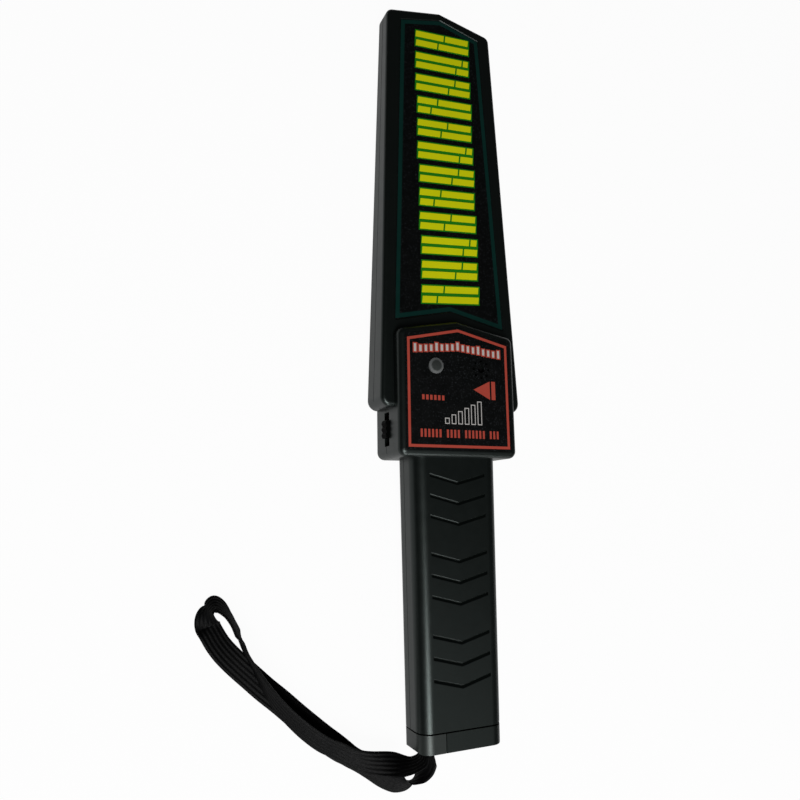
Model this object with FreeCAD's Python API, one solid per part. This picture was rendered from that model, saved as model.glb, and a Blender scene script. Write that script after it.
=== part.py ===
import FreeCAD, Part
import math
import os

V = FreeCAD.Vector

# A hand-held metal detector wand that lies on its back: a flat search paddle, a control block and a
# handle, moulded as a front and a back shell that meet at a parting plane. It is drawn with x across,
# y from the handle's end to the tip, and z up out of the front, from the parting plane. All lengths are
# in millimetres.

# General
wall = 2.2
overrun = 5.0             # how far a cutting shape runs past what it cuts
gap = 0.15                # between seated pieces
sliding_gap = 0.2         # between a sliding piece and its guide
shaft_gap = 0.05          # radial, round a shaft or a pin
tolerance = 0.001
rib = 1.6                 # thickness of inner ribs

# Paddle
length = 410.0            # whole wand
paddle_overlap = 25.9     # how far up the block the paddle starts
paddle_width = 84.0       # at its lower end
tip_width = 67.8
tip_rise = 7.0            # of the tip's middle over its two corners
paddle_front = 11.3       # face above the parting plane, at the lower end
tip_front = 6.5
paddle_back = 10.1        # back below the parting plane, at the lower end
tip_back = 7.2
paddle_corner = 5.5       # radius in plan, lower corners
tip_corner = 4.0
tip_peak = 3.0
paddle_edge = 2.3         # rounding along the front and back

# Control block
block_start = 143.8
block_width = 69.4
block_length = 73.2       # to the peak of its roof
block_roof = 6.5          # of the peak over the ends of its straight sides
block_front = 17.9
block_back = 15.1
block_corner = 4.0
block_peak_round = 2.0
block_edge = 3.2

# Handle
handle_width = 46.5       # at its end
handle_neck_width = 50.0  # where it meets the block
handle_front = 13.1
handle_back = 10.8
handle_round = 7.0

# Chevrons on the handle
chevron_first_gap = 8.1   # from the block to the first one's ends
chevron_pitch = 10.5
chevron_group = 3
chevron_groups = 3
chevron_group_gap = 8.4   # more between two groups
chevron_side_gap = 7.05   # from the handle's side
chevron_drop = 4.3        # of the middle below the ends
chevron_width = 1.9       # along the handle
chevron_depth = 0.6
chevron_fold_share = 0.35 # of its width, from the block's side to its deepest line

# Seam groove along the parting plane
seam_depth = 0.45
seam_width = 0.4

# Labels, sunk into the shells
label_block_gap = 5.4     # from the block's shoulders to the lower corners of the paddle's label
label_peak_gap = 6.7      # from the block's peak to the label's lower middle
label_tip_gap = 4.6
label_start_margin = 6.6  # from the paddle's side
label_end_margin = 8.0
label_roof = 6.7
label_corner = 1.2
label_depth = 0.7
label_thick = 0.35
rear_label_depth = 0.5
panel_margin = 3.3        # from the block's side to its label
panel_corner = 1.0
panel_depth = 0.5
panel_thick = 0.4

# Light and sound
light_x = 13.7            # of the light to the left and of the sound holes to the right
light_gap = 19.1          # of both below the block's shoulders
lens_radius = 4.2
lens_proud = 1.4
lens_rim = 0.6            # straight part above the label
lens_flange = 1.2
lens_flange_thick = 1.2
lens_bore = 2.8
lens_top = 1.6            # thickness of the dome
led_radius = 2.5
led_flange = 2.9
led_flange_thick = 1.0
led_stand = 3.0           # legs above the board
led_leg = 0.3
led_leg_spread = 1.27
led_head_gap = 0.5
buzzer_radius = 6.0
buzzer_height = 9.5
buzzer_hole = 1.0
buzzer_hole_depth = 2.0
sound_hole = 2.0
ring_hole = 0.75
ring_radius = 4.6
ring_holes = 8

# Circuit board
board_side_gap = 2.5
board_start_gap = 8.8     # from the block's start
board_end_gap = 4.5       # from the block's shoulders
board_thick = 1.6
board_back = 3.9          # its lower face above the parting plane
board_corner = 1.5
board_hole = 1.25
post_radius = 3.0
post_pilot = 0.9
post_pilot_depth = 7.0
lower_post_x = 15.5
lower_post_gap = 4.4      # from the board's lower edge
upper_post_side_gap = 6.0
upper_post_gap = 5.0
board_screw_radius = 0.85
board_screw_length = 6.5
board_screw_head = 2.0
board_screw_head_thick = 1.3

# What the board carries
chip_length = 9.8
chip_width = 6.4
chip_height = 3.3
chip_foot = 0.5           # height of its legs
chip_leg = 0.6
chip_legs = 4             # along each side
chip_leg_pitch = 2.54
chip_leg_spread = 1.0
chip_places_shares = ((-0.32, 0.45), (0.12, 0.46))   # across half the board, and up it
capacitor_radius = 3.2
capacitor_height = 7.5
capacitor_round = 0.5
capacitor_places_shares = ((-0.7, 0.37), (0.68, 0.41), (-0.68, 0.53))
resistor_length = 3.2
resistor_width = 1.6
resistor_height = 0.6
resistor_pitch = 4.0
resistors = 5             # in each of two rows
resistor_first_share = -0.3
resistor_row_shares = (0.185, 0.265)
header_width = 5.0
header_depth = 5.4
header_height = 4.6
battery_header_x = 6.0
motor_header_x = -8.0
coil_header_x = 2.0
header_gap = 4.6          # from the board's edge to a header's middle
trimmer_x = 8.0
trimmer_share = 0.57      # of the way up the board
trimmer_width = 6.8
trimmer_height = 4.8
trimmer_corner = 0.6
rotor_radius = 1.7
rotor_proud = 0.6
rotor_depth = 1.5
rotor_slot = 0.5
rotor_slot_depth = 0.6
trimmer_access = 2.2      # radius of the screwdriver hole in the back

# Slide switch on the left
switch_place = 15.2       # up the block
switch_z = 1.0
switch_body_depth = 5.8
switch_body_length = 13.0
switch_body_height = 5.3
knob_travel = 4.0         # each way
knob_length = 9.4
knob_height = 5.8
knob_proud = 2.0
knob_flange_thick = 1.0
knob_flange_overlap = 1.2
knob_flange_reach = 3.3   # past the knob at each end
knob_ridge = 0.7
knob_ridges = 3
peg_width = 1.8
peg_depth = 2.0           # how far the peg reaches into the switch
wall_gap = 0.3            # between the shell's inner side and a flange

# Push button on the right
button_place = 20.6       # up the block
button_radius = 3.5
button_proud = 1.5
button_round = 0.6
button_travel = 1.0
button_flange = 1.1
button_flange_thick = 1.1
stem_radius = 1.2
stem_reach = 1.0          # into the small switch at rest
tact_length = 6.4
tact_width = 6.4
tact_height = 5.6
tact_gap = 1.6            # between the button's flange and the small switch

# Charging socket on the right
jack_place = 12.2         # up the block
jack_bore = 1.8
jack_bore_depth = 12.0
jack_barrel = 3.0
jack_body_length = 12.8
jack_body_width = 6.0
jack_body_height = 5.8
nut_radius = 4.2
nut_thick = 1.5
nut_notch = 0.7
nut_notches = 4
barrel_proud = 1.7

# Search coil
coil_start_gap = 5.0      # from the block's peak
coil_gap = 0.6            # from the shell's inner side to the former
former_width = 7.5
former_back = -4.1
former_height = 7.4
former_flange = 1.2
former_web = 1.3
winding_inset = 0.6       # of the winding's outer side in its channel
former_corner = 5.0
coil_rib_shares = (0.1, 0.37, 0.63, 0.88)   # of the way from the coil's start to the tip's corners
foam_shares = (0.235, 0.755)
foam_length = 14.0
foam_width = 5.0
foam_gap = 0.3

# Vibration motor in the handle
motor_x = 8.0
motor_gap = 39.8          # from its start to the block
motor_length = 20.0
motor_radius = 5.0
motor_nose = 1.8
motor_nose_length = 1.0
motor_boss = 1.5          # length of the rear boss, where its wires leave
shaft_radius = 0.75
shaft_depth = 6.0         # inside the motor
weight_radius = 5.2
weight_length = 6.0
weight_gap = 0.8
weight_hub = 2.0
saddle_shares = (0.15, 0.85)
saddle_margin = 1.8

# Battery and its clip
battery_start = 11.7
battery_space = 20.0      # what the handle's width leaves beside a battery of 26.5
battery_depth_space = 6.4 # what the handle's depth leaves over a battery of 17.5
battery_side_gap = 1.5    # from the handle's inner right side
battery_length = 46.0
battery_round = 2.0
terminal_height = 2.9
terminal_spread = 6.35
male_terminal = 2.9
female_terminal = 4.3
snap_side = 0.75          # less than the battery's width on each side
snap_height = 12.6
snap_thick = 3.8
snap_round = 1.0
terminal_gap = 0.2
bay_rib_height = 13.0
battery_seat = 1.0        # height of the ribs under the battery
seat_rib_shares = (0.2, 0.75)
pad_width = 20.0
pad_height = 12.0
pad_gap = 0.2
stop_height = 5.0

# End cap: the strap's anchor on the left, the battery door on the right
cap_length = 8.95
cap_gap = 0.7             # the seam between the cap and the shells
split_margin = 1.3        # from the battery's bay to the cap's split
split_gap = 0.4           # between the cap's two pieces
cap_floor = 2.0
door_corner = 3.0
anchor_corner = 1.5
door_side = 1.6
door_rib = 1.4
door_rib_shares = (0.3, 0.7)
rail_thick = 1.4
rail_reach = 2.2          # past the cap, into the handle
rail_lip = 1.1
rail_lip_length = 1.1
tongue_reach = 11.5
tongue_wall = 1.8
lock_place = 5.5          # of the locking rib, from the cap
lock_width = 1.2
lock_depth = 0.7

# Wrist strap
strap_width = 12.0
strap_thick = 1.5
strand_gap = 0.4          # between the two strands where they leave the anchor
strap_margin = 5.4        # from the cap's split to the strap's middle
strap_start = 3.0         # where the strands leave the sewn end
sewn_length = 7.0
slot_side_gap = 0.5
slot_end_gap = 0.5
pin_radius = 1.5
pin_left = 5.2            # from the strap's middle to the pin's left end
pin_right = 5.0
tab_y = 6.5               # of the pin

# Screws through the back
screw_radius = 1.3
screw_hole = 1.6
screw_pilot = 1.35
screw_length = 9.5
screw_head = 2.6
screw_head_thick = 1.7
screw_sink = 2.4          # depth of the head's seat below the back
cross_width = 1.0         # of the recess in the head
cross_depth = 0.9
sink_radius = 2.9
boss_radius = 3.9
front_boss_radius = 3.2
block_screw_side = 8.2    # from the block's side
block_screw_place = 4.4   # up the block
paddle_screw_low = 40.0   # from the coil's start
paddle_screw_high = 31.0  # from the tip's corners
handle_screw_side = 11.25
handle_screw_gap = 59.8   # below the block
neck_screw_side = 11.0
neck_screw_gap = 7.8

# Leads
lead_radius = 0.7
coil_lead_radius = 0.8
snap_lead_spread = 2.4    # of the battery's two leads from the middle of its clip
lead_way_x = -3.0         # of the battery's leads where they pass the motor
lead_apart = 1.3          # of each from the middle between them
route_share = 0.45        # of the shorter run that an arc takes
lead_end_share = 0.08     # of the battery's leads that run straight at each end
coil_lead_end_share = 0.32
battery_lead_shares = (   # how far across, along and up
    (0.3, 0.2, 0.25),
    (1, 0.36, 0.5),
    (1.15, 0.52, 0.7),
    (0.9, 0.68, 0.8),
    (0.2, 0.82, 1),
)
motor_lead_shares = (
    (0, 0, 0),
    (0, 0.22, 0),
    (0.3, 0.46, 0.35),
    (0.8, 0.68, 0.9),
    (1, 0.84, 1),
    (1, 1, 1),
)

# Places worked out from these sizes
tip_y = length - tip_rise
paddle_start = block_start + paddle_overlap
block_side = block_width / 2
block_inside = block_side - wall
block_peak = block_start + block_length
block_shoulder = block_peak - block_roof
panel_seat = block_front - panel_depth
light_y = block_shoulder - light_gap
coil_start = block_peak + coil_start_gap
board_front = board_back + board_thick
board_half = block_inside - board_side_gap
board_start = block_start + board_start_gap
board_end = block_shoulder - board_end_gap
lower_post_y = board_start + lower_post_gap
upper_post_x = board_half - upper_post_side_gap
upper_post_y = board_end - upper_post_gap
lower_header_y = board_start + header_gap
coil_header_y = board_end - header_gap
trimmer_y = board_start + (board_end - board_start) * trimmer_share
switch_y = block_start + switch_place
button_y = block_start + button_place
jack_y = block_start + jack_place
middle = (handle_front - handle_back) / 2
cap_seam = cap_length + cap_gap
battery_width = handle_width - battery_space
battery_height = handle_front + handle_back - battery_depth_space
battery_x = handle_width / 2 - wall - battery_side_gap - battery_width / 2
battery_z = wall - handle_back + battery_seat + battery_height / 2
cap_split = battery_x - battery_width / 2 - gap - rib - split_margin
strap_x = cap_split - strap_margin
motor_start = block_start - motor_gap
screw_places = (
    (0, tip_y - paddle_screw_high),
    (0, coil_start + paddle_screw_low),
    (block_screw_side - block_side, block_start + block_screw_place),
    (block_side - block_screw_side, block_start + block_screw_place),
    (handle_screw_side - handle_width / 2, block_start - handle_screw_gap),
    (neck_screw_side - handle_neck_width / 2, block_start - neck_screw_gap),
)
post_places = (
    (-lower_post_x, lower_post_y),
    (lower_post_x, lower_post_y),
    (-upper_post_x, upper_post_y),
    (upper_post_x, upper_post_y),
)

# The strap's route, from its left strand's sewn end round the loop and back to the right strand's:
# x, y and height over the floor
strap_route = (
    (-16.35, 3.0, 16.25),
    (-16.35, -2.5, 15.9),
    (-18.2, -8.0, 13.2),
    (-23.5, -11.6, 10.4),
    (-31.0, -11.0, 7.9),
    (-40.5, -6.5, 6.05),
    (-53.5, 4.5, 6.05),
    (-67.0, 15.5, 6.05),
    (-81.0, 25.5, 6.05),
    (-93.5, 36.0, 6.05),
    (-102.0, 47.5, 6.05),
    (-108.0, 60.5, 6.05),
    (-111.8, 69.5, 6.05),
    (-116.3, 71.8, 6.05),
    (-121.2, 70.8, 6.05),
    (-124.5, 67.0, 6.05),
    (-124.8, 62.0, 6.05),
    (-119.4, 53.6, 6.05),
    (-108.5, 40.0, 6.05),
    (-94.5, 27.5, 6.05),
    (-80.0, 14.0, 6.05),
    (-65.0, 2.0, 6.05),
    (-50.5, -7.0, 6.05),
    (-38.0, -15.5, 6.05),
    (-27.5, -20.6, 6.3),
    (-18.5, -21.6, 8.0),
    (-11.5, -18.6, 10.6),
    (-8.8, -12.0, 13.2),
    (-10.8, -5.5, 15.4),
    (-14.45, -1.5, 16.25),
    (-14.45, 3.0, 16.25),
)


# Plain shapes

def crossing(a, b, c, d):
    """Where the line through a and b meets the line through c and d, in one level plane."""
    u = b - a
    w = d - c
    share = ((c.x - a.x) * w.y - (c.y - a.y) * w.x) / (u.x * w.y - u.y * w.x)
    return a + u * share


def moved_in(corners, distance):
    """The corners of a counterclockwise outline with every side moved in by a distance."""
    sides = []
    for a, b in zip(corners, corners[1:] + corners[:1]):
        along = (b - a).normalize()
        inward = V(-along.y, along.x, 0) * distance
        sides.append((a + inward, b + inward))
    return [crossing(*sides[i - 1], *sides[i]) for i in range(len(sides))]


def outline(corners, radii):
    """A closed wire through the corners, each rounded to its radius."""
    turns = []
    for i, corner in enumerate(corners):
        before = corners[i - 1] - corner
        after = corners[(i + 1) % len(corners)] - corner
        half = before.getAngle(after) / 2
        before.normalize()
        after.normalize()
        reach = radii[i] / math.tan(half)
        inward = (before + after).normalize()
        middle = corner + inward * (radii[i] / math.sin(half) - radii[i])
        turns.append((corner + before * reach, middle, corner + after * reach))
    edges = []
    for i, (start, middle, end) in enumerate(turns):
        if radii[i] > 0:
            edges.append(Part.Arc(start, middle, end).toShape())
        edges.append(Part.LineSegment(end, turns[(i + 1) % len(turns)][0]).toShape())
    return Part.Wire(edges)


def prism(corners, radii, low, high):
    """An upright solid over an outline, between two heights."""
    face = Part.Face(outline(corners, radii))
    face.translate(V(0, 0, low))
    return face.extrude(V(0, 0, high - low))


def side_prism(corners, half_width):
    """A solid across the wand over an outline of y and z corners."""
    points = [V(-half_width, y, z) for y, z in corners]
    face = Part.Face(Part.makePolygon(points + points[:1]))
    return face.extrude(V(2 * half_width, 0, 0))


def box(left, right, start, end, low, high):
    """A block between two values of x, of y and of z."""
    return Part.makeBox(right - left, end - start, high - low, V(left, start, low))


def block_at(x, y, width, length, low, high):
    """A block centred on a place in plan."""
    return box(x - width / 2, x + width / 2, y - length / 2, y + length / 2, low, high)


def side_block(left, right, y, z, length, height):
    """A block between two values of x, centred on a place seen from the side."""
    return box(left, right, y - length / 2, y + length / 2, z - height / 2, z + height / 2)


def rod(x, y, low, high, radius):
    """An upright cylinder."""
    return Part.makeCylinder(radius, high - low, V(x, y, low))


def cross_rod(left, right, y, z, radius):
    """A cylinder that lies across the wand."""
    return Part.makeCylinder(radius, right - left, V(left, y, z), V(1, 0, 0))


def long_rod(x, start, end, z, radius):
    """A cylinder that lies along the wand."""
    return Part.makeCylinder(radius, end - start, V(x, start, z), V(0, 1, 0))


def joined(shapes):
    """One solid from shapes that touch or overlap."""
    return shapes[0].fuse(list(shapes[1:])).removeSplitter()


def edges_where(shape, test):
    """The edges whose two ends and middle all pass a test."""
    found = []
    for edge in shape.Edges:
        first, last = edge.ParameterRange
        points = [edge.valueAt(value) for value in (first, (first + last) / 2, last)]
        if all(test(point) for point in points):
            found.append(edge)
    return found


def rounded_box(left, right, start, end, low, high, radius):
    """A block whose four edges along y are rounded."""
    block = box(left, right, start, end, low, high)
    long_edges = [edge for edge in block.Edges if edge.BoundBox.YLength > (end - start) / 2]
    return block.makeFillet(radius, long_edges)


def smooth_route(points, name):
    """A wire of straight runs through the points, joined by arcs as large as the runs allow."""
    turns = []
    radii = []
    for before, point, after in zip(points, points[1:], points[2:]):
        back = before - point
        ahead = after - point
        shorter = min(back.Length, ahead.Length)
        half = back.getAngle(ahead) / 2
        reach = route_share * shorter
        radius = reach * math.tan(half)
        back.normalize()
        ahead.normalize()
        inward = (back + ahead).normalize()
        middle = point + inward * (radius / math.sin(half) - radius)
        turns.append((point + back * reach, middle, point + ahead * reach))
        radii.append(radius)
    edges = []
    at = points[0]
    for start, middle, end in turns:
        edges.append(Part.LineSegment(at, start).toShape())
        edges.append(Part.Arc(start, middle, end).toShape())
        at = end
    edges.append(Part.LineSegment(at, points[-1]).toShape())
    wire = Part.Wire(edges)
    tightest = [round(radius, 1) for radius in sorted(radii)[:3]]
    print(name, "route", round(wire.Length, 1), "mm, tightest arcs", tightest)
    return wire


def lead(points, radius, name):
    """A round lead along a route."""
    wire = smooth_route(points, name)
    start = points[0]
    ring = Part.Wire([Part.makeCircle(radius, start, points[1] - start)])
    tube = wire.makePipeShell([ring], True, False)
    ratio = tube.Volume / (math.pi * radius**2 * wire.Length)
    print(name, "volume over section times length", round(ratio, 4))
    return tube


# Outer forms of the wand

def between(at_start, at_tip, y):
    """A height that runs straight from the paddle's lower end to the tip."""
    return at_start + (at_tip - at_start) * (y - paddle_start) / (length - paddle_start)


def front_at(y):
    return between(paddle_front, tip_front, y)


def back_at(y):
    return -between(paddle_back, tip_back, y)


def side_at(y):
    """The paddle's half width."""
    return (paddle_width + (tip_width - paddle_width) * (y - paddle_start) / (tip_y - paddle_start)) / 2


def handle_side_at(y):
    """The handle's half width."""
    return (handle_width + (handle_neck_width - handle_width) * y / block_start) / 2


def paddle_corners(start):
    return [
        V(-side_at(start), start, 0),
        V(side_at(start), start, 0),
        V(tip_width / 2, tip_y, 0),
        V(0, length, 0),
        V(-tip_width / 2, tip_y, 0),
    ]


def paddle_slab(front_inset, back_inset):
    """All that lies between the paddle's sloping front and back, each moved in."""
    start = paddle_start - overrun
    end = length + overrun
    corners = (
        (start, back_at(start) + back_inset),
        (end, back_at(end) + back_inset),
        (end, front_at(end) - front_inset),
        (start, front_at(start) - front_inset),
    )
    return side_prism(corners, paddle_width)


def paddle_body(inset):
    corner_radii = (paddle_corner, paddle_corner, tip_corner, tip_peak, tip_corner)
    radii = [max(radius - inset, 0) for radius in corner_radii]
    plan = prism(moved_in(paddle_corners(paddle_start), inset), radii, -block_back, block_front)
    return plan.common(paddle_slab(inset, inset))


def rounded_paddle():
    body = paddle_body(0)
    edges = edges_where(body, lambda point: abs(point.z - front_at(point.y)) < tolerance)
    edges += edges_where(body, lambda point: abs(point.z - back_at(point.y)) < tolerance)
    return body.makeFillet(paddle_edge, edges)


def block_corners():
    return [
        V(-block_side, block_start, 0),
        V(block_side, block_start, 0),
        V(block_side, block_shoulder, 0),
        V(0, block_peak, 0),
        V(-block_side, block_shoulder, 0),
    ]


def block_body(inset):
    radii = [max(radius - inset, 0) for radius in [block_corner] * 3 + [block_peak_round, block_corner]]
    return prism(moved_in(block_corners(), inset), radii, inset - block_back, block_front - inset)


def rounded_block():
    body = block_body(0)
    edges = edges_where(body, lambda point: abs(point.z - block_front) < tolerance)
    edges += edges_where(body, lambda point: abs(point.z + block_back) < tolerance)
    return body.makeFillet(block_edge, edges)


def handle_body(inset, start, end):
    """A length of the handle with its four long edges rounded, every side moved in."""
    corners = [
        V(inset - handle_side_at(start), start, 0),
        V(handle_side_at(start) - inset, start, 0),
        V(handle_side_at(end) - inset, end, 0),
        V(inset - handle_side_at(end), end, 0),
    ]
    body = prism(corners, [0] * 4, inset - handle_back, handle_front - inset)
    long_edges = [edge for edge in body.Edges if edge.BoundBox.YLength > (end - start) / 2]
    return body.makeFillet(handle_round - inset, long_edges)


def housing():
    return joined([rounded_paddle(), rounded_block(), handle_body(0, cap_seam, block_start + wall)])


def cavity():
    """The room inside both shells."""
    handle_room = handle_body(wall, cap_seam - overrun, block_start + wall + overrun)
    return joined([paddle_body(wall), block_body(wall), handle_room])


def seam_groove():
    """A shallow groove all round the housing, half in each shell."""
    half = seam_width / 2
    slab = box(-paddle_width, paddle_width, cap_seam - overrun, length + overrun, -half, half)
    paddle = prism(moved_in(paddle_corners(paddle_start), seam_depth), [0] * 5, -half, half)
    block = prism(moved_in(block_corners(), seam_depth), [0] * 5, -half, half)
    start = cap_seam - overrun
    end = block_start + overrun
    handle_corners = [
        V(seam_depth - handle_side_at(start), start, 0),
        V(handle_side_at(start) - seam_depth, start, 0),
        V(handle_side_at(end) - seam_depth, end, 0),
        V(seam_depth - handle_side_at(end), end, 0),
    ]
    handle = prism(handle_corners, [0] * 4, -half, half)
    return slab.cut([paddle, block, handle])


def upper_half():
    return box(-paddle_width, paddle_width, -overrun, length + overrun, 0, block_front + overrun)


def lower_half():
    return box(-paddle_width, paddle_width, -overrun, length + overrun, -block_back - overrun, 0)


# Labels

def label_corners():
    start = block_shoulder + label_block_gap
    end = tip_y - label_tip_gap
    start_side = side_at(start) - label_start_margin
    end_side = side_at(end) - label_end_margin
    return [
        V(-start_side, start, 0),
        V(0, block_peak + label_peak_gap, 0),
        V(start_side, start, 0),
        V(end_side, end, 0),
        V(0, end + label_roof, 0),
        V(-end_side, end, 0),
    ]


def label_plan(inset):
    return prism(moved_in(label_corners(), inset), [label_corner] * 6, -block_back, block_front)


def panel_plan(inset, low, high):
    corners = moved_in(block_corners(), panel_margin + inset)
    return prism(corners, [panel_corner] * 5, low, high)


def sound_holes(low, high):
    """The round of holes over the buzzer."""
    holes = [rod(light_x, light_y, low, high, sound_hole)]
    for i in range(ring_holes):
        turn = 2 * math.pi * i / ring_holes
        x = light_x + ring_radius * math.cos(turn)
        y = light_y + ring_radius * math.sin(turn)
        holes.append(rod(x, y, low, high, ring_hole))
    return holes


def paddle_label():
    above_seat = paddle_slab(label_depth - label_thick, 0).cut([paddle_slab(label_depth, 0), lower_half()])
    return label_plan(gap).common(above_seat)


def rear_label():
    depth = rear_label_depth
    below_seat = paddle_slab(0, depth - label_thick).cut([paddle_slab(0, depth), upper_half()])
    return label_plan(gap).common(below_seat)


def control_label():
    plate = panel_plan(gap, panel_seat, panel_seat + panel_thick)
    lens_hole = rod(-light_x, light_y, panel_seat - overrun, block_front + overrun, lens_radius + gap)
    return plate.cut([lens_hole] + sound_holes(panel_seat - overrun, block_front + overrun))


# Shells

def chevron(y):
    """Cutter for one V groove, steep on the block's side and gentle towards the handle's end."""
    high = handle_front + overrun
    end = y - chevron_width
    fold = V(0, y - chevron_width * chevron_fold_share, handle_front - chevron_depth)
    half = handle_width / 2 - chevron_side_gap
    arms = []
    for side in (-1, 1):
        start = V(side * half, 0, 0)
        rim = [V(0, y, handle_front), V(0, y, high), V(0, end, high), V(0, end, handle_front)]
        points = [start + point for point in rim + [fold]]
        face = Part.Face(Part.makePolygon(points + points[:1]))
        arms.append(face.extrude(V(-side * half, -chevron_drop, 0)))
    return joined(arms)


def chevrons():
    found = []
    for group in range(chevron_groups):
        for i in range(chevron_group):
            drop = (group * chevron_group + i) * chevron_pitch + group * chevron_group_gap
            found.append(chevron(block_start - chevron_first_gap - drop))
    return found


def coil_rib_places():
    return [coil_start + (tip_y - coil_start) * share for share in coil_rib_shares]


def front_ribs():
    """Ribs that hold the coil's former from the front, and the motor's upper saddles."""
    ribs = []
    former_front = former_back + former_height
    for y in coil_rib_places():
        side = side_at(y) - wall / 2
        ribs.append(box(-side, side, y, y + rib, former_front + gap, front_at(y) - wall / 2))
    for y in saddle_places():
        side = motor_radius + saddle_margin
        saddle = box(motor_x - side, motor_x + side, y, y + rib, middle + gap, handle_front - wall / 2)
        ribs.append(saddle.cut(motor_room()))
    return ribs


def back_ribs():
    """Ribs that carry the coil's former, the motor's saddles, and the battery's bay."""
    ribs = []
    for y in coil_rib_places():
        side = side_at(y) - wall / 2
        ribs.append(box(-side, side, y, y + rib, back_at(y) + wall / 2, former_back))
    floor = wall / 2 - handle_back
    for y in saddle_places():
        side = motor_radius + saddle_margin
        saddle = box(motor_x - side, motor_x + side, y, y + rib, floor, middle - gap)
        ribs.append(saddle.cut(motor_room()))
    left = battery_x - battery_width / 2
    right = battery_x + battery_width / 2
    bay_end = battery_start + battery_length
    inner = wall - handle_back
    ribs.append(box(left - gap - rib, left - gap, battery_start, bay_end, floor, inner + bay_rib_height))
    for share in seat_rib_shares:
        y = battery_start + battery_length * share
        ribs.append(box(left - gap - rib, right - battery_round, y, y + rib, floor, inner + battery_seat))
    stop = snap_end() + gap
    stop_left = left + battery_round
    ribs.append(box(stop_left, right - battery_round, stop, stop + rib, floor, inner + stop_height))
    return ribs


def saddle_places():
    return [motor_start + motor_length * share - rib / 2 for share in saddle_shares]


def motor_room():
    end = motor_start + motor_length
    return long_rod(motor_x, motor_start - overrun, end + overrun, middle, motor_radius + shaft_gap)


def front_bosses():
    bosses = [rod(x, y, 0, front_over(x, y) - wall / 2, front_boss_radius) for x, y in screw_places]
    posts = [rod(x, y, board_front, block_front - wall / 2, post_radius) for x, y in post_places]
    return bosses + posts


def front_pilots():
    pilots = []
    for x, y in screw_places:
        end = back_under(x, y) + screw_sink + screw_length + gap
        pilots.append(rod(x, y, -overrun, end, screw_pilot))
    for x, y in post_places:
        pilots.append(rod(x, y, board_front - overrun, board_front + post_pilot_depth, post_pilot))
    return pilots


def front_over(x, y):
    """The height of the front over a screw's place."""
    if y > block_peak:
        return front_at(y)
    if y > block_start:
        return block_front
    return handle_front


def back_under(x, y):
    """The height of the back under a screw's place."""
    if y > block_peak:
        return back_at(y)
    if y > block_start:
        return -block_back
    return -handle_back


def switch_opening():
    opening_length = knob_length + 2 * (knob_travel + sliding_gap)
    opening_height = knob_height + 2 * sliding_gap
    outside = -block_side - overrun
    inside = -block_inside + overrun
    return side_block(outside, inside, switch_y, switch_z, opening_length, opening_height)


def side_openings():
    """The holes that the side controls pass through, over both shells."""
    inside = block_inside - overrun
    outside = block_side + overrun
    button_hole = cross_rod(inside, outside, button_y, switch_z, button_radius + sliding_gap)
    jack_hole = cross_rod(inside, outside, jack_y, switch_z, jack_barrel + gap)
    return [switch_opening(), button_hole, jack_hole]


def rail_grooves():
    """The grooves in the handle's end that the door's rails slide in."""
    inner_front = handle_front - wall
    inner_back = wall - handle_back
    start = cap_seam - overrun
    end = cap_length + rail_reach + sliding_gap
    lip_start = cap_length + rail_reach - rail_lip_length - sliding_gap
    left = cap_split - gap
    right = handle_width
    depth = rail_thick + 2 * sliding_gap
    side = handle_side_at(end) - wall - handle_round
    return [
        box(side, right, start, end, inner_front - depth, inner_front),
        box(side, right, start, end, inner_back, inner_back + depth),
        box(left, right, lip_start, end, inner_front - depth, inner_front + rail_lip + sliding_gap - gap),
        box(left, right, lip_start, end, inner_back - rail_lip - sliding_gap + gap, inner_back + depth),
    ]


def lock_rib(front):
    """The rib inside one shell that holds the anchor's tongue."""
    start = cap_length + lock_place + gap
    end = start + lock_width - 2 * gap
    left = handle_round - handle_side_at(start)
    right = tongue_right() - gap
    reach = lock_depth - gap
    if front:
        return box(left, right, start, end, handle_front - wall - reach, handle_front - wall / 2)
    return box(left, right, start, end, wall / 2 - handle_back, wall - handle_back + reach)


def front_shell():
    shell = housing().common(upper_half()).cut(cavity())
    shell = joined([shell] + front_bosses() + front_ribs() + [lock_rib(True)])
    recess = label_plan(0).cut(paddle_slab(label_depth, 0).fuse(lower_half()))
    panel_recess = panel_plan(0, panel_seat, block_front + overrun)
    lens_hole = rod(-light_x, light_y, block_front - wall - overrun, block_front, lens_radius + gap)
    cuts = [recess, panel_recess, lens_hole, seam_groove()] + chevrons()
    cuts += sound_holes(block_front - wall - overrun, block_front)
    cuts += front_pilots() + side_openings() + rail_grooves()
    return shell.cut(cuts)


def back_shell():
    shell = housing().common(lower_half()).cut(cavity())
    bosses = [rod(x, y, back_under(x, y) + wall / 2, 0, boss_radius) for x, y in screw_places]
    shell = joined([shell] + bosses + back_ribs() + [lock_rib(False)])
    recess = label_plan(0).cut(paddle_slab(0, rear_label_depth).fuse(upper_half()))
    cuts = [recess, seam_groove()] + side_openings() + rail_grooves()
    for x, y in screw_places:
        back = back_under(x, y)
        cuts.append(rod(x, y, back - overrun, overrun, screw_hole))
        cuts.append(rod(x, y, back - overrun, back + screw_sink, sink_radius))
    outside = -block_back - overrun
    cuts.append(rod(trimmer_x, trimmer_y, outside, wall - block_back + overrun, trimmer_access))
    return shell.cut(cuts)


# Light and sound pieces

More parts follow.
